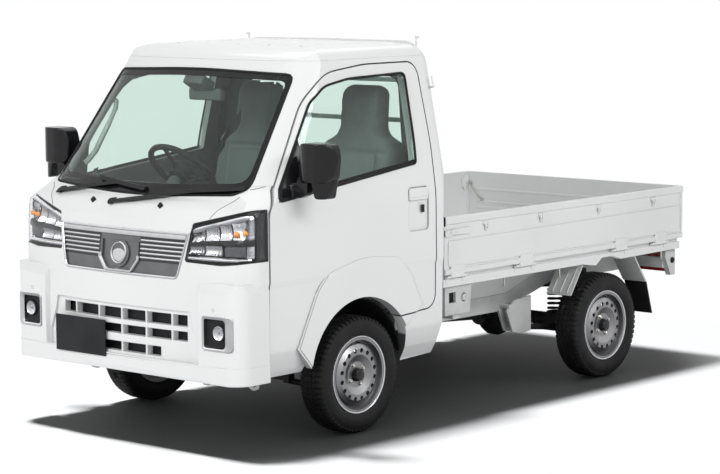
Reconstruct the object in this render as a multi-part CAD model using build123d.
"""Kei truck: a cab-over light truck with a drop-sided flat bed, built from its separate pieces.

Frame: +X is the vehicle's left, the vehicle faces -Y, +Z is up.  The origin is on the ground, at the
middle of the length and width.  All sizes are millimetres.
"""
from build123d import *
import math
import os

os.makedirs("parts", exist_ok=True)

# ---------------------------------------------------------------- driving dimensions
LENGTH = 3395
WIDTH = 1475
HALF = WIDTH / 2
NOSE_Y = -LENGTH / 2
TAIL_Y = LENGTH / 2

FRONT_AXLE_Y = -875
REAR_AXLE_Y = FRONT_AXLE_Y + 1900
TRACK_FRONT = 1305
TRACK_REAR = 1300
TYRE_R = 268
TYRE_W = 145

CAB_BACK_Y = -297
WALL = 45                 # cab wall, as thick as a whole door
SKIN = 30                 # bumper moulding
PLAN_CENTRE_Y = 2000      # the nose, screen and roof front are turned about this upright axis

BED_FLOOR_Z = 650
GATE_TOP_Z = 935
GATE_FRONT_Y = -284
GATE_HINGE_X = 731        # hinge axis of the side gates
TAIL_HINGE_Y = 1691       # hinge axis of the tailgate
HINGE_Z = 650
BARREL_R = 6.5            # hinge barrels of all three gates
GATE_FOOT_Z = 662         # the gates' lower edge, clear of the barrels

DOOR_GAP = 6

RAIL_IN, RAIL_OUT = 335, 395          # chassis rail beside the front wheels, inner and outer face
RAIL_REAR_IN, RAIL_REAR_OUT = 370, 430
BALL_X, BALL_Z = 600, 190             # the steering axis runs from the lower ball joint ...
STRUT_X, STRUT_Z = 500, 632           # ... to the strut's top mount
DRIVER_X = -340


# ---------------------------------------------------------------- drawing helpers
def lay(plane, at, a, b):
    """A point of the side (Y, Z), front (X, Z) or plan (X, Y) view, at that depth."""
    return {"side": (at, a, b), "front": (a, at, b), "plan": (a, b, at)}[plane]


def depth(plane, d):
    return {"side": (d, 0, 0), "front": (0, d, 0), "plan": (0, 0, d)}[plane]


def outline(plane, at, points):
    """A face from corners (a, b) or (a, b, radius): straight sides, with a tangent arc at each radius."""
    n = len(points)
    ends = []
    for i, point in enumerate(points):
        a, b = point[:2]
        r = point[2] if len(point) > 2 else 0
        if not r:
            ends.append([(a, b)])
            continue
        pa, pb = points[i - 1][:2]
        na, nb = points[(i + 1) % n][:2]
        d1, d2 = math.hypot(pa - a, pb - b), math.hypot(na - a, nb - b)
        u1, u2 = ((pa - a) / d1, (pb - b) / d1), ((na - a) / d2, (nb - b) / d2)
        half = math.acos(max(-1, min(1, u1[0] * u2[0] + u1[1] * u2[1]))) / 2
        reach = r / math.tan(half)
        bis = (u1[0] + u2[0], u1[1] + u2[1])
        size = math.hypot(*bis)
        to_mid = r / math.sin(half) - r
        ends.append([
            (a + u1[0] * reach, b + u1[1] * reach),
            (a + bis[0] / size * to_mid, b + bis[1] / size * to_mid),
            (a + u2[0] * reach, b + u2[1] * reach),
        ])
    edges = []
    for i, corner in enumerate(ends):
        if len(corner) == 3:
            edges.append(Edge.make_three_point_arc(*(lay(plane, at, *p) for p in corner)))
        start, stop = corner[-1], ends[(i + 1) % n][0]
        if math.dist(start, stop) > 1e-6:
            edges.append(Edge.make_line(lay(plane, at, *start), lay(plane, at, *stop)))
    return Face(Wire(edges))


def prism(plane, points, low, high):
    return Solid.extrude(outline(plane, low, points), depth(plane, high - low))


def inset(points, t):
    """The same closed outline moved inwards by t (outwards if t is negative), radii kept concentric."""
    n = len(points)
    area = sum(points[i - 1][0] * points[i][1] - points[i][0] * points[i - 1][1] for i in range(n))
    turn = 1 if area > 0 else -1
    moved = []
    for i, point in enumerate(points):
        a, b = point[:2]
        pa, pb = points[i - 1][:2]
        na, nb = points[(i + 1) % n][:2]
        d1, d2 = math.hypot(a - pa, b - pb), math.hypot(na - a, nb - b)
        n1 = (-(b - pb) / d1 * turn, (a - pa) / d1 * turn)
        n2 = (-(nb - b) / d2 * turn, (na - a) / d2 * turn)
        k = t / (1 + n1[0] * n2[0] + n1[1] * n2[1])
        cross = ((a - pa) * (nb - b) - (b - pb) * (na - a)) * turn
        new = [a + (n1[0] + n2[0]) * k, b + (n1[1] + n2[1]) * k]
        if len(point) > 2 and point[2]:
            new.append(max(point[2] - t if cross > 0 else point[2] + t, 2))
        moved.append(tuple(new))
    return moved


def both_sides(half):
    """A front or plan outline from its +X half, listed from the bottom or back to the centre line."""
    left = [(-p[0], *p[1:]) for p in reversed(half) if abs(p[0]) > 1e-6]
    return half + left


def block(x0, x1, y0, y1, z0, z1):
    return Solid.make_box(x1 - x0, y1 - y0, z1 - z0).moved(Location((x0, y0, z0)))


def rod(start, end, radius):
    """A round bar between two points."""
    s, e = Vector(*start), Vector(*end)
    return Solid.make_cylinder(radius, (e - s).length, Plane(origin=s, z_dir=(e - s)))


def faceted(points, sides, y, z, x=0.0):
    """A ring like turned(), of flat facets whose middles lie on the given radii."""
    step = math.tau / sides
    grow = 1 / math.cos(step / 2)

    def corner(point, k):
        angle = (k + 0.5) * step
        radius = point[1] * grow
        return (x + point[0], y + radius * math.cos(angle), z + radius * math.sin(angle))

    facets = []
    for near, far in zip(points, points[1:] + points[:1]):
        for k in range(sides):
            corners = [corner(near, k), corner(far, k), corner(far, k + 1), corner(near, k + 1)]
            facets.append(Face(Wire.make_polygon(corners)))
    return Solid(Shell(facets))


def mirrored(shape):
    return shape.mirror(Plane.YZ)


def pair(shape):
    return [shape, mirrored(shape)]


def turned(points, y, z, x=0.0):
    """A ring turned about the wheel axis from corners (x, radius[, corner radius])."""
    face = outline("front", y, [(x + p[0], z + p[1], *p[2:]) for p in points])
    return Solid.revolve(face, 360, Axis((0, y, z), (1, 0, 0)))


def flat(items):
    found = []
    for item in items if isinstance(items, (list, tuple, ShapeList)) else [items]:
        if isinstance(item, (list, tuple, ShapeList)):
            found += flat(item)
        else:
            found.append(item)
    return found


def fuse(*items):
    shapes = flat(items)
    return shapes[0].fuse(*shapes[1:]) if len(shapes) > 1 else shapes[0]


def common(first, *others):
    """What all the shapes share, as a list of solids."""
    found = first
    for other in others:
        found = found.intersect(other)
        if isinstance(found, ShapeList):
            found = Compound(found) if len(found) > 1 else found[0]
    return found


NODES = {}


def node(name, *shapes):
    solids = []
    for shape in flat(shapes):
        solids += [s for s in shape.solids() if s.volume > 5]
    NODES[name] = solids
    export_step(Compound(solids) if len(solids) > 1 else solids[0], f"parts/{name}.step")


# ---------------------------------------------------------------- cab envelope
# The side profile from the roof's back, over the header, down the screen and the nose: (Y, Z, radius).
CAB_PROFILE = [
    (-150, 1738),
    (-640, 1769, 1500),
    (-1000, 1746, 420),
    (-1132, 1702, 150),
    (-1588, 1102),
    (-1634, 1070, 45),
    (-1659, 1010, 60),
    (-1670, 960),
    (-1692, 757),
    (-1694, 240),
    (-150, 240),
]
# The front view from the sill tuck, up the side and the tumblehome to the roof's crown: (X, Z, radius).
CAB_SECTION = [
    (640, 240),
    (652, 292),
    (686, 350, 20),
    (724, 445, 60),
    (728, 726),
    (735, 752),
    (734, 1050, 400),
    (726, 1118),
    (703, 1288, 1500),
    (614, 1668),
    (588, 1742, 80),
    (0, 1779, 5000),
]
REAR_TOP = [(CAB_BACK_Y, 200), (CAB_BACK_Y, 1752, 60), (-1900, 1840), (-1900, 200)]
CAB_PLAN = [(HALF + 4, CAB_BACK_Y + 90), (HALF + 4, -1655, 185), (0, -1712)]
# The corners wrap round into the pillars: (Z, corner X, corner Y, corner radius, front Y on the centre line).
PILLAR_WRAP = [
    (1040, 747, -1650, 185, -1712),
    (1150, 731, -1479, 262, -1581),
    (1810, 594, -993, 150, -1090),
]


made = {}


def cab_envelope(t):
    """The outside of the cab moved inwards by t."""
    if t not in made:
        made[t] = build_envelope(t)
    return made[t]


def band(t0, t1):
    """The layer of the cab between two depths under its outside."""
    if (t0, t1) not in made:
        made[t0, t1] = cab_envelope(t0).cut(cab_envelope(t1))
    return made[t0, t1]


def build_envelope(t):
    face = outline("side", 0, inset(CAB_PROFILE, t))
    axis = Axis((0, PLAN_CENTRE_Y, 0), (0, 0, 1))
    swing = 23
    nose = Solid.revolve(face.rotate(axis, -swing), 2 * swing, axis)
    section = prism("front", inset(both_sides(CAB_SECTION), t), -1800, -200)
    top = prism("side", inset(REAR_TOP, t), -900, 900)
    plan = prism("plan", inset(both_sides(CAB_PLAN), t), 150, 1900)
    corners = [inset(both_sides([(x, 0), (x, y, r), (0, front)]), t) for _, x, y, r, front in PILLAR_WRAP]
    levels = [row[0] for row in PILLAR_WRAP]
    wrap = Solid.make_loft([outline("plan", z, c).outer_wire() for z, c in zip(levels, corners)], True)
    wrap = wrap.fuse(prism("plan", corners[0], 100, levels[0]))
    return common(nose, section, top, plan, wrap)


# ---------------------------------------------------------------- openings of the cab, in the side view
ARCH_Y, ARCH_Z, ARCH_R = -868, 275, 350
BUMPER_TOP_Z = 757      # top of the bumper's corner pods
PANEL_SPLIT_Z = 960     # the seam under the front panel, level with the grille's top
NOSE_SPLIT_Y = -1479
PILLAR_SPLIT_Z = 1166
ROOF_SPLIT_Z = 1692

DOOR_OUTLINE = [
    (-1476, 318, 12),
    (-1476, 1056, 90),
    (-1395, 1160, 600),
    (-1150, 1520, 420),
    (-1000, 1640, 260),
    (-720, 1670, 900),
    (-352, 1670, 70),
    (-346, 520, 70),
    (-640, 505),
    (-640, 318),
]
DOOR_GLASS = [
    (-1408, 1100, 14),
    (-1112, 1512, 150),
    (-1010, 1578, 180),
    (-840, 1605, 600),
    (-452, 1616, 22),
    (-474, 1206, 16),
]
SCREEN = [(612, 1134, 58), (549, 1632, 34), (0, 1650, 6000), (-549, 1632, 34), (-612, 1134, 58),
          (0, 1106, 6000)]
REAR_SCREEN = [(-520, 1190, 50), (520, 1190, 50), (490, 1590, 60), (-490, 1590, 60)]

FLARE = [   # raised band round the front arch, in the side view
    (-1300, 440),
    (-1172, 690, 200),
    (-1090, 768, 80),
    (-860, 818, 500),
    (-610, 792, 70),
    (-520, 690, 200),
    (-448, 545),
    (-600, 430),
    (-1200, 330),
]


def arch_cut(radius, x0, x1):
    wheel = Solid.make_cylinder(radius, x1 - x0, Plane(origin=(x0, ARCH_Y, ARCH_Z), z_dir=(1, 0, 0)))
    return fuse(wheel, block(x0, x1, ARCH_Y - radius * 0.99, ARCH_Y + radius * 0.9, 150, ARCH_Z))


outer = cab_envelope(0)
shell = band(0, WALL)

flare = fuse(prism("side", FLARE, 700, 733), prism("side", inset(FLARE, 9), 700, HALF))
shell = fuse(shell, pair(flare)).cut(*pair(arch_cut(ARCH_R, 560, 800)))

screen_cut = prism("front", SCREEN, -1720, -1000)
rear_cut = prism("front", REAR_SCREEN, -380, -250)
door_hole = prism("side", DOOR_OUTLINE, 540, 790)
door_block = prism("side", inset(DOOR_OUTLINE, DOOR_GAP), 540, 790)
door_glass_hole = prism("side", DOOR_GLASS, 540, 790)
NOSE_BACK_Y = -1380
front_region = block(-800, 800, -1800, NOSE_BACK_Y, 150, PILLAR_SPLIT_Z)
nose_region = block(-800, 800, -1800, NOSE_BACK_Y, PANEL_SPLIT_Z + 3, PILLAR_SPLIT_Z)

# ---------------------------------------------------------------- doors, their glass and mirrors
SAIL = [(-1440, 1070), (-1220, 1378), (-1220, 1070)]
sail_cut = prism("side", SAIL, 540, 800)
door = common(shell, door_block).cut(door_glass_hole)
handle_recess = prism("side", [(-548, 892, 22), (-404, 892, 22), (-404, 1096, 22), (-548, 1096, 22)], 724, 760)
handle = prism("side", [(-544, 1036, 10), (-408, 1036, 10), (-408, 1092, 10), (-544, 1092, 10)], 712, 735)
door = door.cut(handle_recess).fuse(handle)
door_glass = common(band(8, 16), door_glass_hole).cut(sail_cut)

sail = common(band(-2, 16), sail_cut, door_glass_hole)
MIRROR_FRONT = [(752, 1186, 30), (922, 1186, 30), (935, 1290, 60), (922, 1353, 34), (768, 1353, 40),
                (747, 1290, 60)]
MIRROR_PLAN = [(744, -1226), (744, -1300, 26), (800, -1334, 80), (900, -1328, 70), (936, -1250, 40), (936, -1226)]
MIRROR_LOBE = [(834, 1192), (858, 1113, 16), (906, 1111, 16), (924, 1192)]
mirror_head = common(prism("front", MIRROR_FRONT, -1340, -1220), prism("plan", MIRROR_PLAN, 1180, 1360))
mirror_lobe = common(
    prism("front", MIRROR_LOBE, -1340, -1220),
    prism("plan", inset(MIRROR_PLAN, 9), 1100, 1200),
)
mirror_arm = prism("front", [(700, 1104), (700, 1164), (812, 1190), (812, 1128, 12), (770, 1112)], -1318, -1276)
mirror_arm = mirror_arm.cut(cab_envelope(-2))
mirror = fuse(mirror_head, mirror_lobe, mirror_arm, sail)
for name, put in (("left", lambda s: s), ("right", mirrored)):
    node(f"door_{name}", put(door))
    node(f"door_glass_{name}", put(door_glass))
    node(f"mirror_{name}", put(mirror))

# ---------------------------------------------------------------- nose panel, headlamps and grille
LAMP = [(397, 838, 12), (428, 1006, 14), (700, 1072, 60), (760, 1076), (760, 852), (600, 832, 200)]
GRILLE = [(-364, 758, 30), (364, 758, 30), (417, 964, 4), (-417, 964, 4)]
lamp_hole = prism("front", LAMP, -1760, NOSE_SPLIT_Y - 2)
grille_hole = prism("front", GRILLE, -1760, -1560)
DOOR_EDGE = [(-1479, 200), (-1479, 1059), (-1398, 1163), (-1340, 1250), (-1200, 1250), (-1200, 200)]
door_edge = prism("side", DOOR_EDGE, 540, 790)

lamp = common(band(2, WALL), lamp_hole)
nose = common(shell, nose_region).cut(screen_cut, grille_hole, *pair(lamp_hole), *pair(door_edge))

# Grille: cut from one curved plate, so that the frame, five slats a side and the badge holder stand proud.
SLAT_Z, SLAT_PITCH, SLAT_H = 834, 19, 11
GAPS = range(-1, 4)
FRAME_DEPTH, SLAT_DEPTH, HOLDER_DEPTH, PLATE_DEPTH, GRILLE_BACK = 2, 8, 10, 17, 30
HOLDER = both_sides([(80, 772), (124, 824), (124, 905)])
HOLDER_INSIDE = both_sides([(72, 785), (110, 829), (110, 905)])
OPENING = [(-352, 770, 18), (352, 770, 18), (401, 932, 4), (-401, 932, 4)]
BADGE_Z, BADGE_R = 851, 64
FRONT_LOW, FRONT_HIGH = (-1692, 757), (-1670, 960)      # the cab's front line at the grille, (Y, Z)


def front_y(z, t):
    """Y of the cab's front line at that height, moved inwards by t."""
    lean = (FRONT_HIGH[0] - FRONT_LOW[0]) / (FRONT_HIGH[1] - FRONT_LOW[1])
    return FRONT_LOW[0] + (z - FRONT_LOW[1]) * lean + t


def front_sheet(front, back, z0=750, z1=970):
    """A curved sheet between two depths and two heights, turned about the upright axis of the nose."""
    axis = Axis((0, PLAN_CENTRE_Y, 0), (0, 0, 1))
    swing = 9
    corners = [(front_y(z0, front), z0), (front_y(z1, front), z1), (front_y(z1, back), z1),
               (front_y(z0, back), z0)]
    return Solid.revolve(outline("side", 0, corners).rotate(axis, -swing), 2 * swing, axis)


holder = prism("front", HOLDER, -1760, -1560)
opening = prism("front", OPENING, -1760, -1560)
badge = rod((0, -1760, BADGE_Z), (0, -1560, BADGE_Z), BADGE_R)
below_slats = block(-460, 460, -1760, -1560, 700, SLAT_Z - SLAT_PITCH + SLAT_H)
grille = common(front_sheet(FRAME_DEPTH, GRILLE_BACK), grille_hole)
grille = grille.cut(common(front_sheet(-40, SLAT_DEPTH), opening).cut(holder))
grille = grille.cut(common(front_sheet(-40, PLATE_DEPTH), opening, below_slats).cut(holder))
for i in GAPS:
    z = SLAT_Z + SLAT_PITCH * i + SLAT_H
    gap = common(front_sheet(-40, PLATE_DEPTH, z, z + SLAT_PITCH - SLAT_H), opening)
    grille = grille.cut(gap.cut(block(-124, 124, -1760, -1560, 700, 990)))
recess = common(front_sheet(-40, HOLDER_DEPTH), prism("front", HOLDER_INSIDE, -1760, -1560))
grille = grille.cut(recess.cut(badge))

# ---------------------------------------------------------------- bumper and fog lamps
BUMPER_PLAN = [(HALF - 1, NOSE_SPLIT_Y), (HALF - 1, -1676, 92), (500, NOSE_Y + 12, 900), (0, NOSE_Y + 5)]


def bumper_slab(t, z0, z1, back=0.0):
    """The bumper's plan moved inwards by t; its back edge stays at the door, or that far behind it."""
    moved = []
    for p in inset(both_sides(BUMPER_PLAN), t):
        at_back = abs(p[1] - NOSE_SPLIT_Y) < abs(t) + 1
        moved.append((p[0], NOSE_SPLIT_Y + back, *p[2:]) if at_back else p)
    return prism("plan", moved, z0, z1)


INTAKE_POCKET = [(-430, 622), (430, 622), (444, 556), (486, 470), (486, 396), (-486, 396), (-486, 470),
                 (-444, 556)]
POD_INSIDE = [(-508, -1720), (508, -1720), (486, -1650), (486, -1380), (-486, -1380), (-486, -1650)]
upper = common(shell, block(-800, 800, -1800, NOSE_SPLIT_Y, 390, PANEL_SPLIT_Z))
upper = upper.cut(grille_hole, *pair(lamp_hole))
upper = upper.cut(common(band(-60, 12), prism("front", INTAKE_POCKET, -1760, -1560)))
pods = common(
    bumper_slab(2, 384, BUMPER_TOP_Z),
    prism("side", [(-1400, 300), (-1400, 757), (-1650, 757), (-1686, 706), (-1694, 300)], -800, 800),
    prism("front", both_sides([(735, 300), (735, 712), (724, 757), (0, 757)]), -1800, -1400),
).cut(prism("plan", POD_INSIDE, 300, 800))
lip = common(
    bumper_slab(0, 318, 396),
    prism("side", [(-1400, 318), (-1400, 396), (-1681, 396), (-1692, 380), (-1692, 345), (-1677, 318)], -800, 800),
)
bumper = fuse(upper, pods.cut(cab_envelope(WALL)), lip.cut(bumper_slab(SKIN, 300, 400, back=5)))
INTAKE = [(552, 603, -386, 410), (487, 530, -386, 410), (408, 452, -386, 256)]   # row bottom, top, ends
BARS_X = [-300, -138, 14, 168, 322]
BAR_W = 10
for z0, z1, x0, x1 in INTAKE:
    ends = [x0] + [x for x in BARS_X if x0 < x < x1] + [x1]
    for a, b in zip(ends, ends[1:]):
        left = a + (BAR_W / 2 if a != x0 else 0)
        right = b - (BAR_W / 2 if b != x1 else 0)
        bumper = bumper.cut(block(left, right, -1750, -1580, z0, z1))

FOG = [(526, 468, 14), (692, 468, 14), (692, 618, 14), (526, 618, 14)]
FOG_LAMP_X, FOG_LAMP_Z, FOG_LAMP_R = 604, 540, 45


def fog_layer(front, cutter):
    """What the cutter keeps of the bumper's skin, from this depth back to the skin's rear."""
    return common(bumper_slab(front, 400, 700).cut(bumper_slab(SKIN, 390, 710)), cutter)


fog_hole = prism("front", FOG, -1760, -1560)
bumper = bumper.cut(*pair(fog_hole))
fog = fuse(
    fog_layer(-4, fog_hole).cut(prism("front", inset(FOG, 18), -1760, -1560)),
    fog_layer(22, fog_hole),
    fog_layer(10, rod((FOG_LAMP_X, -1760, FOG_LAMP_Z), (FOG_LAMP_X, -1560, FOG_LAMP_Z), FOG_LAMP_R)),
)
number_plate = block(-411, -81, NOSE_Y, NOSE_Y + 5, 376, 541)
plate_bracket = block(-330, -162, NOSE_Y + 5, -1660, 420, 480).cut(bumper)

node("nose_panel", nose)
node("front_bumper", bumper)
node("front_grille", grille)
node("headlamps", pair(lamp))
node("fog_lamps", pair(fog))
node("number_plate", fuse(number_plate, plate_bracket))

# ---------------------------------------------------------------- cab body, roof, floor and fixed glass
roof_region = block(-900, 900, -1900, -100, ROOF_SPLIT_Z, 1900)
T = 22
FLOOR_LINE = [   # toe board, footwell, seat box, as one folded sheet in the side view
    (-1645, 760), (-1562, 420), (-1240, 420), (-1240, 640), (-341, 640), (-341, 640 + T),
    (-1240 - T, 640 + T), (-1240 - T, 420 + T), (-1562 + T, 420 + T), (-1645 + T, 760),
]
floor = common(prism("side", FLOOR_LINE, -658, 658), cab_envelope(WALL))
under = block(-640, 640, -1800, -342, 100, 900)
SILL_CUT = [(-1800, 150), (-1800, 278), (-600, 278), (-200, 296), (-200, 150)]
body = shell.cut(
    front_region, roof_region, screen_cut, rear_cut, door_hole, mirrored(door_hole),
    block(-800, 800, -1800, ARCH_Y, 150, 700), prism("side", SILL_CUT, -800, 800),
    block(-610, 610, -1800, -200, 150, 618), block(-626, 626, -1800, -342, 150, 500),
)
body = fuse(body, floor)
screen = common(band(2, 8), screen_cut, block(-800, 800, -1720, -1020, 1000, 1700))
rear_glass = prism("front", REAR_SCREEN, CAB_BACK_Y - 22, CAB_BACK_Y - 14)
node("cab_body", body)
node("cab_roof", common(shell, roof_region))
node("cab_glass", screen, rear_glass)

liner = Solid.make_cylinder(344, 258, Plane(origin=(404, ARCH_Y, ARCH_Z), z_dir=(1, 0, 0))).cut(
    Solid.make_cylinder(337, 252, Plane(origin=(411, ARCH_Y, ARCH_Z), z_dir=(1, 0, 0))),
    block(300, 800, -1300, -400, -100, 330))
liner = liner.cut(rod((503, FRONT_AXLE_Y, 588), (503, FRONT_AXLE_Y, 640), 52))
node("wheelhouses", pair(liner))

# Wipers: strips that follow the screen, on two spindles in the cowl: (blade ends, arm ends, spindle) as (X, Z).
WIPERS = [((-262, 1166), (68, 1134), (-492, 1098)), ((206, 1128), (600, 1158), (-88, 1074))]


def strip(a, b, w):
    """A straight strip of width w between two points of the front view."""
    ux, uz = b[0] - a[0], b[1] - a[1]
    k = w / 2 / math.hypot(ux, uz)
    nx, nz = -uz * k, ux * k
    return prism("front", [(a[0] + nx, a[1] + nz), (b[0] + nx, b[1] + nz), (b[0] - nx, b[1] - nz),
                           (a[0] - nx, a[1] - nz)], -1760, -1300)


wiper_zone = common(cab_envelope(-16).cut(cab_envelope(-4)), block(-620, 640, -1700, -1440, 1050, 1200))
post_zone = common(cab_envelope(-16).cut(outer), block(-620, 640, -1700, -1440, 1050, 1200))
wipers = []
for tip0, tip1, pivot in WIPERS:
    mid = (tip0[0] + (tip1[0] - tip0[0]) * 0.42, tip0[1] + (tip1[1] - tip0[1]) * 0.42)
    wipers.append(fuse(
        common(wiper_zone, strip(tip0, tip1, 16)),
        common(wiper_zone, strip(pivot, mid, 15)),
        common(post_zone, rod((pivot[0], -1760, pivot[1]), (pivot[0], -1460, pivot[1]), 14)),
    ))
node("wipers", wipers)

# ---------------------------------------------------------------- cab inside
DASH = [(-1630, 1060), (-1560, 1128, 40), (-1340, 1132, 30), (-1285, 1085, 30), (-1300, 900, 60), (-1350, 742),
        (-1610, 742)]
WHEEL_CENTRE = (DRIVER_X, -945, 1146)
COLUMN = (0, 0.70, 0.714)


def on_column(t):
    return tuple(c + d * t for c, d in zip(WHEEL_CENTRE, COLUMN))


dash = common(prism("side", DASH, -600, 600), cab_envelope(WALL))
column = rod(on_column(-560), on_column(-70), 34)
node("dashboard", fuse(dash, column))

# Drawn flat about the origin, then set on the column.
RING_R, RING_HALF, RING_BEVEL = 171, 13, 6
ring_section = [(RING_R + a * RING_HALF + b * RING_BEVEL, c * RING_HALF + d * RING_BEVEL) for a, b, c, d in (
    (-1, 1, -1, 0), (1, -1, -1, 0), (1, 0, -1, 1), (1, 0, 1, -1), (1, -1, 1, 0), (-1, 1, 1, 0), (-1, 0, 1, -1),
    (-1, 0, -1, 1))]
ring = Solid.revolve(outline("front", 0, ring_section), 360, Axis((0, 0, 0), (0, 0, 1)))
hub = rod((0, 0, -42), (0, 0, -8), 48)
stub = rod((0, 0, -64), (0, 0, -30), 20)
SPOKES = [math.radians(d) for d in (20, 160, 270)]
spokes = [rod((0, 0, -24), (164 * math.cos(a), 164 * math.sin(a), 0), 10) for a in SPOKES]
on_wheel = Plane(origin=WHEEL_CENTRE, x_dir=(1, 0, 0), z_dir=COLUMN).location
node("steering_wheel", fuse(hub, stub, spokes, ring).moved(on_wheel))

CUSHION = [(-1040, 664, 10), (-1050, 750, 40), (-1010, 800, 50), (-480, 760, 40), (-440, 664, 10)]
BACKREST = [(-560, 770, 30), (-450, 745, 30), (-346, 1250, 80), (-346, 1560, 40), (-440, 1566, 50), (-462, 1420, 120),
            (-478, 1290, 120)]
BACK_FRONT = [(-235, 740, 40), (235, 740, 40), (228, 1270, 80), (118, 1330, 60), (110, 1570, 60), (-110, 1570, 60),
              (-118, 1330, 60), (-228, 1270, 80)]
seats = []
for x in (DRIVER_X, -DRIVER_X):
    cushion = prism("side", CUSHION, x - 235, x + 235)
    rest = common(prism("side", BACKREST, x - 240, x + 240),
                  prism("front", [(p[0] + x, *p[1:]) for p in BACK_FRONT], -700, -300))
    seats.append((cushion.cut(rest), rest))
node("seat_cushions", [s[0] for s in seats])
node("seat_backs", [s[1] for s in seats])
# ---------------------------------------------------------------- chassis frame
RAIL_FRONT = [(-1618, 318), (-560, 318), (-250, 374), (-250, 460), (-560, 404), (-1618, 404)]
RAIL_REAR = [(-300, 374), (600, 374), (715, 424), (932, 480), (1680, 480), (1680, 566), (900, 566), (560, 460),
             (-300, 460)]
rails = [fuse(
    prism("side", RAIL_FRONT, RAIL_IN, RAIL_OUT),
    prism("side", RAIL_REAR, RAIL_REAR_IN, RAIL_REAR_OUT),
    block(RAIL_IN, RAIL_REAR_OUT, -300, -250, 374, 460),
)]
rails.append(mirrored(rails[0]))
CROSS = [   # Y from, Y to, Z from, Z to, half length
    (-1618, -1576, 330, 388, RAIL_IN + 10), (-960, -930, 326, 390, RAIL_IN + 10), (-290, -255, 400, 452, 380),
    (470, 520, 402, 452, 380), (1055, 1090, 488, 562, 380), (1648, 1680, 490, 562, 380),
]
cross = [block(-x, x, y0, y1, z0, z1) for y0, y1, z0, z1, x in CROSS]
SPARE_Y, SPARE_Z = 1370, 470
hanger = [block(-24, 24, 1080, 1660, 548, 562), rod((0, SPARE_Y, SPARE_Z - 36), (0, SPARE_Y, 552), 12),
          rod((0, SPARE_Y, SPARE_Z - 36), (0, SPARE_Y, SPARE_Z - 30), 50)]
outriggers = []
for side in (1, -1):
    bracket = prism("side", [(-255, 463), (-255, 598), (-55, 598), (-70, 463)], 690, 706)
    bracket = bracket.cut(prism("side", [(-225, 520), (-225, 570), (-175, 570), (-175, 520)], 680, 720),
                          rod((680, -115, 540), (720, -115, 540), 22))
    arm = block(RAIL_REAR_OUT - 2, 692, -180, -130, 438, 470)
    corner = prism("side", [(1591, 655 - 60), (1591, 560), (1640, 461), (1680, 461), (1680, 595)], 660, 690)
    corner_arm = block(RAIL_REAR_OUT - 5, 662, 1602, 1640, 500, 555)
    link_mount = prism("side", [(492, 380), (540, 270), (620, 255), (689, 262), (689, 440), (560, 430)],
                       RAIL_REAR_OUT - 4, RAIL_REAR_OUT + 8)
    link_mount = link_mount.fuse(link_mount.moved(Location((52, 0, 0))), rod((426, 520, 400), (490, 520, 400), 12))
    hook = prism("side", [(-1520, 330), (-1520, 268, 20), (-1470, 268, 20), (-1470, 330)], 352, 376).cut(
        rod((340, -1495, 296), (390, -1495, 296), 12))
    eye_outline = [(-1548, 336), (-1548, 302, 8), (-1520, 280, 12), (-1490, 286, 8), (-1482, 336)]
    lash_eye = prism("side", eye_outline, 664, 676)
    lash_eye = lash_eye.cut(rod((655, -1516, 304), (685, -1516, 304), 9))
    lash_arm = block(RAIL_OUT - 5, 676, -1540, -1490, 322, 340)
    parts = [bracket, arm, corner, corner_arm, link_mount, hook, lash_eye, lash_arm]
    outriggers += parts if side > 0 else [mirrored(p) for p in parts]
node("chassis_frame", fuse(rails, cross, hanger, outriggers))

# ---------------------------------------------------------------- load bed
BEAM = [(GATE_FRONT_Y, 602), (819, 602), (929, 586), (981, 620), (1071, 622), (1146, 599), (1676, 604), (1676, 640),
        (GATE_FRONT_Y, 640)]
SILL = [(GATE_FRONT_Y, 460), (560, 460), (900, 566), (1674, 566), (1674, 626), (GATE_FRONT_Y, 626)]
DECK_X = 692
DECK_FRONT_Y, DECK_REAR_Y = -249, 1669      # the flat floor, clear of the front wall and the tailgate
BED_REAR_Y = 1676
deck = block(-DECK_X, DECK_X, DECK_FRONT_Y, DECK_REAR_Y, 626, BED_FLOOR_Z)
ledges = block(-DECK_X, DECK_X, GATE_FRONT_Y, BED_REAR_Y, 626, 640)
cross_bearers = [block(-DECK_X, DECK_X, y - 22, y + 22, 598, 628) for y in (-240, 260, 812, 1250, 1652)]

# Fixed hinge barrels, one at each end of the gate's own barrel, on plates from the bed's edge beam.
SIDE_HINGES = [(-268, -121), (258, 415), (1057, 1201), (1409, 1551)]
TAIL_HINGES = [(-590, -450), (-70, 70), (450, 590)]
KNUCKLE = 24                # length of a fixed barrel
PIN_GAP = 1.5               # between a fixed and a moving barrel on one pin
fixed_barrels = []
for a, b in SIDE_HINGES:
    for y0, y1 in ((a, a + KNUCKLE), (b - KNUCKLE, b)):
        y0 = max(y0, GATE_FRONT_Y + 2)
        barrel = rod((GATE_HINGE_X, y0, HINGE_Z), (GATE_HINGE_X, y1, HINGE_Z), BARREL_R)
        leaf = [block(716, 722, y0, y1, 620, 652), block(720, 727, y0, y1, 645, 652)]
        fixed_barrels.append(pair(fuse(barrel, leaf)))
for a, b in TAIL_HINGES:
    for x0, x1 in ((a, a + KNUCKLE), (b - KNUCKLE, b)):
        barrel = rod((x0, TAIL_HINGE_Y, HINGE_Z), (x1, TAIL_HINGE_Y, HINGE_Z), BARREL_R)
        leaf = [block(x0, x1, 1670, 1682, 620, 640), block(x0, x1, 1676, 1682, 630, 652),
                block(x0, x1, 1680, 1687, 645, 652)]
        fixed_barrels.append(fuse(barrel, leaf))
node("load_bed", fuse(deck, ledges, pair(prism("side", BEAM, 690, 720)), pair(prism("side", SILL, 372, 428)),
                      cross_bearers, fixed_barrels))

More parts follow.
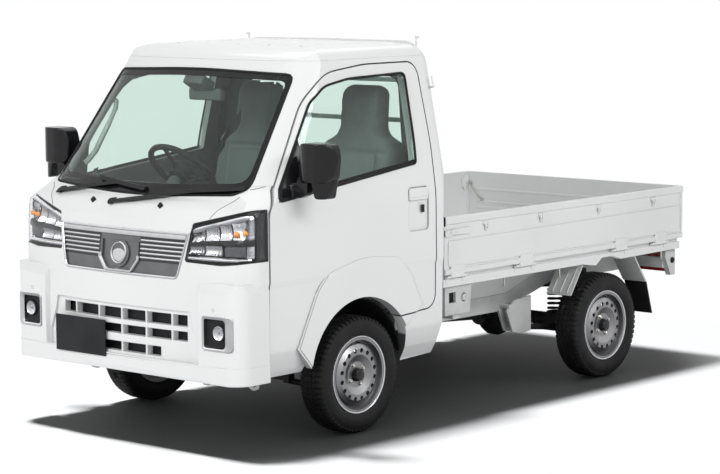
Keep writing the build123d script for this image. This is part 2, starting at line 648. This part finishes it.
# Front wall of the bed and the guard frame that stands on it behind the cab.
FRAME_OUT = [(700, 640), (700, 1140, 80), (641, 1430, 400), (588, 1690, 90), (500, 1757, 60), (0, 1760)]
frame_out = both_sides(FRAME_OUT)
FRAME_IN = both_sides([(672, 630), (672, 1138, 80), (613, 1424, 400), (562, 1676, 60), (490, 1730, 40),
                       (0, 1732)])
guard = prism("front", frame_out, -283, -253).cut(prism("front", FRAME_IN, -300, -240))
headboard = block(-690, 690, -279, -257, 640, GATE_TOP_Z)
head_rail = block(-690, 690, -283, -250, GATE_TOP_Z - 38, GATE_TOP_Z)
bars = [block(-x, x, -277, -259, z, z + 22) for x, z in ((672, 1160), (628, 1370), (588, 1560))]
hooks = [pair(fuse(rod((618, -268, 1540), (652, -268, 1546), 5), rod((652, -268, 1546), (640, -268, 1594), 5))),
         pair(fuse(rod((546, -268, 1705), (546, -268, 1780), 5), rod((546, -268, 1775), (562, -268, 1775), 5)))]
node("guard_frame", fuse(guard, headboard, head_rail, bars, hooks))


RAIL_SECTION = [(712, 897), (729, 897), (HALF, 903, 5), (HALF, 929, 5), (731, GATE_TOP_Z, 3),
                (712, GATE_TOP_Z, 3)]
FOOT_SECTION = [(712, GATE_FOOT_Z), (733, GATE_FOOT_Z), (735, 670), (735, 684), (727, 690), (712, 690)]
ROPE_HOOKS_Y = (26, 459, 939, 1417)


def side_gate():
    """Drop side: sheet with a top rail, a raised panel, a foot, hinge barrels, rope hooks and a latch."""
    y0, y1 = GATE_FRONT_Y, 1682
    sheet = block(712, 727, y0, y1, GATE_FOOT_Z, GATE_TOP_Z - 5)
    rail = prism("front", RAIL_SECTION, y0, y1)
    field = [(y0 + 25, 698, 14), (y1 - 24, 698, 14), (y1 - 24, 832, 14), (y0 + 25, 820, 14)]
    panel = prism("side", field, 722, 733)
    foot = prism("front", FOOT_SECTION, y0, y1)
    post = block(722, 733, y1 - 14, y1, GATE_FOOT_Z, 900)
    leaves = []
    for a, b in SIDE_HINGES:
        a, b = a + KNUCKLE + PIN_GAP, b - KNUCKLE - PIN_GAP
        barrel = rod((GATE_HINGE_X, a, HINGE_Z), (GATE_HINGE_X, b, HINGE_Z), BARREL_R)
        leaves.append(fuse(barrel, block(731, HALF, a, b, HINGE_Z, 676)))
    hooks = []
    for y in ROPE_HOOKS_Y:
        bow = [rod((733.5, y + dy, 888), (733.5, y + dy, 858), 3.5) for dy in (-8, 8)]
        plate = block(726, 732, y - 22, y + 22, 878, 892)
        hooks.append(fuse(plate, bow, block(730, 737, y - 11, y + 11, 852, 859)))
    latch = fuse(block(725, 736, -282, -232, 842, 872),
                 prism("side", [(-240, 850), (-110, 846, 8), (-92, 860, 8), (-110, 878, 8), (-240, 874)], 729, HALF))
    return fuse(sheet, rail, panel, foot, post, leaves, hooks, latch)


gate = side_gate()
node("gate_left", gate)
node("gate_right", mirrored(gate))

TAIL_HALF = 704
tail_parts = [
    block(-TAIL_HALF, TAIL_HALF, 1674, 1687, GATE_FOOT_Z, GATE_TOP_Z),
    block(-TAIL_HALF, TAIL_HALF, 1674, 1692, 897, GATE_TOP_Z),
    block(-TAIL_HALF, TAIL_HALF, 1674, 1692, GATE_FOOT_Z, 688),
    block(-640, 640, 1684, 1692, 706, 880),
]
for a, b in TAIL_HINGES:
    a, b = a + KNUCKLE + PIN_GAP, b - KNUCKLE - PIN_GAP
    tail_parts.append(rod((a, TAIL_HINGE_Y, HINGE_Z), (b, TAIL_HINGE_Y, HINGE_Z), BARREL_R))
    tail_parts.append(block(a, b, TAIL_HINGE_Y, TAIL_Y, HINGE_Z, 676))
tail_parts += [block(x - 30, x + 30, 1690, TAIL_Y, 905, 928) for x in (-640, 640)]
node("tailgate", fuse(tail_parts))

# ---------------------------------------------------------------- wheels
TYRE_SIDES = 40
TYRE = [(-52, 168), (-52, 181), (-66, 186), (-TYRE_W / 2, 212), (-69, 246), (-54, 264), (-40, TYRE_R), (40, TYRE_R),
        (54, 264), (69, 246), (TYRE_W / 2, 212), (66, 186), (52, 181), (52, 168)]
RIM = [   # barrel with both flanges, then the dished disc, from the inner flange: (x, radius)
    (-60, 178), (-60, 158), (20, 156), (26, 140), (44, 128), (48, 100), (36, 66), (36, 22), (44, 22), (44, 60),
    (57, 92), (57, 118), (46, 140), (34, 146), (30, 156), (60, 160), (60, 178), (52, 178), (52, 168), (-52, 168),
    (-52, 178),
]
HUB_FRONT = [(-22, 0.01), (-22, 105), (-12, 105), (-12, 52), (36, 52), (36, 0.01)]
HUB_REAR = [(-56, 0.01), (-56, 96), (-4, 96), (-4, 58), (36, 58), (36, 0.01)]
WHEELS = [("front_left", TRACK_FRONT / 2, FRONT_AXLE_Y), ("front_right", -TRACK_FRONT / 2, FRONT_AXLE_Y),
          ("rear_left", TRACK_REAR / 2, REAR_AXLE_Y), ("rear_right", -TRACK_REAR / 2, REAR_AXLE_Y)]
for name, x, y in WHEELS:
    side = 1 if x > 0 else -1
    rim = turned(RIM, y, TYRE_R, abs(x))
    holes = [rod((abs(x), y + 112 * math.cos(a), TYRE_R + 112 * math.sin(a)),
                 (abs(x) + 80, y + 112 * math.cos(a), TYRE_R + 112 * math.sin(a)), 10.5)
             for a in (math.tau * (i + 0.5) / 16 for i in range(16))]
    hub = turned(HUB_FRONT if "front" in name else HUB_REAR, y, TYRE_R, abs(x))
    cap = turned([(36, 0.01), (36, 27), (64, 25), (66, 0.01)], y, TYRE_R, abs(x))
    rim = fuse(rim.cut(*holes), hub, cap)
    tyre = faceted(TYRE, TYRE_SIDES, y, TYRE_R, abs(x))
    node(f"rim_{name}", rim if side > 0 else mirrored(rim))
    node(f"tyre_{name}", tyre if side > 0 else mirrored(tyre))

spare = faceted(TYRE, TYRE_SIDES, SPARE_Y, SPARE_Z)
spare_rim = turned(RIM, SPARE_Y, SPARE_Z)
lay_flat = Location((0, SPARE_Y, SPARE_Z)) * Location((0, 0, 0), (0, 90, 0)) * Location((0, -SPARE_Y, -SPARE_Z))
node("spare_tyre", spare.moved(lay_flat))
node("spare_rim", spare_rim.moved(lay_flat))

# ---------------------------------------------------------------- front suspension and steering
def on_kingpin(z):
    """The point of the left steering axis at that height."""
    k = (z - BALL_Z) / (STRUT_Z - BALL_Z)
    return (BALL_X + (STRUT_X - BALL_X) * k, FRONT_AXLE_Y, z)


strut_mount = rod((503, FRONT_AXLE_Y, 588), (503, FRONT_AXLE_Y, 640), 52)
UPRIGHT = [(578, 205), (612, 205), (618, 240), (618, 300), (606, 322), (560, 330), (556, 300), (566, 250)]
upright = prism("front", UPRIGHT, FRONT_AXLE_Y - 45, FRONT_AXLE_Y + 45)
strut = rod(on_kingpin(212), on_kingpin(556), 21)
spring_seat = rod(on_kingpin(548), on_kingpin(556), 44)
steer_arm = block(556, 586, FRONT_AXLE_Y + 40, FRONT_AXLE_Y + 128, 238, 256)
knuckle = fuse(upright, strut, spring_seat, steer_arm)
node("knuckle_left", knuckle)
node("knuckle_right", mirrored(knuckle))

front_parts = []
for side in (1, -1):
    ball = rod((BALL_X, FRONT_AXLE_Y, 170), (BALL_X, FRONT_AXLE_Y, 198), 17)
    arms = [rod((BALL_X - 6, FRONT_AXLE_Y, 182), (350, FRONT_AXLE_Y + dy, 214), 14) for dy in (-86, 86)]
    posts = [block(338, 372, FRONT_AXLE_Y + dy - 20, FRONT_AXLE_Y + dy + 20, 205, 318) for dy in (-86, 86)]
    spring = rod(on_kingpin(562), on_kingpin(594), 46)
    parts = [ball] + arms + posts + [fuse(spring, strut_mount)]
    front_parts += parts if side > 0 else [mirrored(p) for p in parts]
cross_tube = block(-340, 340, FRONT_AXLE_Y - 100, FRONT_AXLE_Y - 60, 214, 262)
rack = rod((-330, -760, 240), (330, -760, 240), 24)
node("front_suspension", fuse(front_parts, cross_tube, rack))

# ---------------------------------------------------------------- rear axle and its springs
tube = rod((-588, REAR_AXLE_Y, TYRE_R), (588, REAR_AXLE_Y, TYRE_R), 34)
CASE = [(-74, 0.01), (-74, 62), (-46, 104), (-20, 118), (20, 118), (46, 104), (74, 62), (74, 0.01)]
ball = turned(CASE, REAR_AXLE_Y, TYRE_R)
nose_case = rod((0, REAR_AXLE_Y - 150, TYRE_R + 8), (0, REAR_AXLE_Y, TYRE_R), 56)
backing = [pair(rod((580, REAR_AXLE_Y, TYRE_R), (588, REAR_AXLE_Y, TYRE_R), 96))]
pads = [pair(block(350, 500, REAR_AXLE_Y - 50, REAR_AXLE_Y + 50, TYRE_R - 52, TYRE_R + 40))]
node("rear_axle", fuse(tube, ball, nose_case, backing, pads))

springs = []
for side in (1, -1):
    coil = rod((400, REAR_AXLE_Y, TYRE_R + 40), (400, REAR_AXLE_Y, 480), 48)
    link = rod((460, 646, 283), (460, REAR_AXLE_Y - 60, 244), 16)
    bush = rod((438, 646, 283), (478, 646, 283), 26)
    eye_plate = block(444, 476, REAR_AXLE_Y - 75, REAR_AXLE_Y - 50, 226, 262)
    damper = rod((470, REAR_AXLE_Y + 78, 240), (470, REAR_AXLE_Y + 120, 520), 20)
    eye = rod((430, REAR_AXLE_Y + 120, 520), (492, REAR_AXLE_Y + 120, 520), 14)
    foot = block(450, 492, REAR_AXLE_Y + 50, REAR_AXLE_Y + 100, 216, 262)
    parts = [coil, fuse(link, bush, eye_plate), fuse(damper, eye, foot)]
    springs += parts if side > 0 else [mirrored(p) for p in parts]
node("rear_suspension", springs)

# ---------------------------------------------------------------- engine, driveline, tank, exhaust
engine = prism("side", [(-860, 276), (-406, 276), (-406, 590), (-780, 618), (-860, 560)], -225, 225)
mounts = [pair(block(220, RAIL_IN, y, y + 40, 330, 372)) for y in (-800, -480)]
node("engine", fuse(engine, mounts))
GEARBOX = [(-406, 276), (-160, 285), (-120, 320), (-120, 368), (-310, 385), (-406, 460)]
gearbox = prism("side", GEARBOX, -130, 130)
shaft = rod((0, -122, 345), (0, REAR_AXLE_Y - 154, 276), 28)
node("driveline", fuse(gearbox, shaft))
TANK = [(-664, 300, 30), (-664, 540, 30), (-430, 540, 12), (-430, 300, 30)]
node("fuel_tank", prism("front", TANK, 20, 440))
EXHAUST = [(-180, -398, 300), (-200, 430, 330), (-220, 800, 330), (-306, 930, 420), (-306, 1400, 420),
           (-306, 1640, 390)]
pipes = [rod(a, b, 18) for a, b in zip(EXHAUST, EXHAUST[1:])]
bends = [Solid.make_sphere(18, Plane(origin=p)) for p in EXHAUST[1:-1]]
muffler = rod((-206, 440, 330), (-214, 780, 330), 64)
node("exhaust", fuse(pipes, bends, muffler))

# ---------------------------------------------------------------- mudguards, flaps and lamps at the back
guards, flaps = [], []
for side in (1, -1):
    ahead = prism("side", [(712, 454), (722, 454), (823, 598), (813, 598)], 570, 720)
    ahead = fuse(ahead, block(570, 688, 800, 823, 580, 598))
    behind = prism("side", [(1262, 598), (1274, 598), (1378, 456), (1366, 456)], 578, 720)
    flap = prism("side", [(1366, 462), (1374, 462), (1428, 290), (1420, 290)], 580, 716).moved(Location((0, 8, -6)))
    guards += [ahead, behind] if side > 0 else [mirrored(ahead), mirrored(behind)]
    flaps += [flap] if side > 0 else [mirrored(flap)]
node("rear_mudguards", guards)
node("mud_flaps", flaps)
node("tail_lamps", pair(block(470, 652, 1640, 1678, 478, 590)))
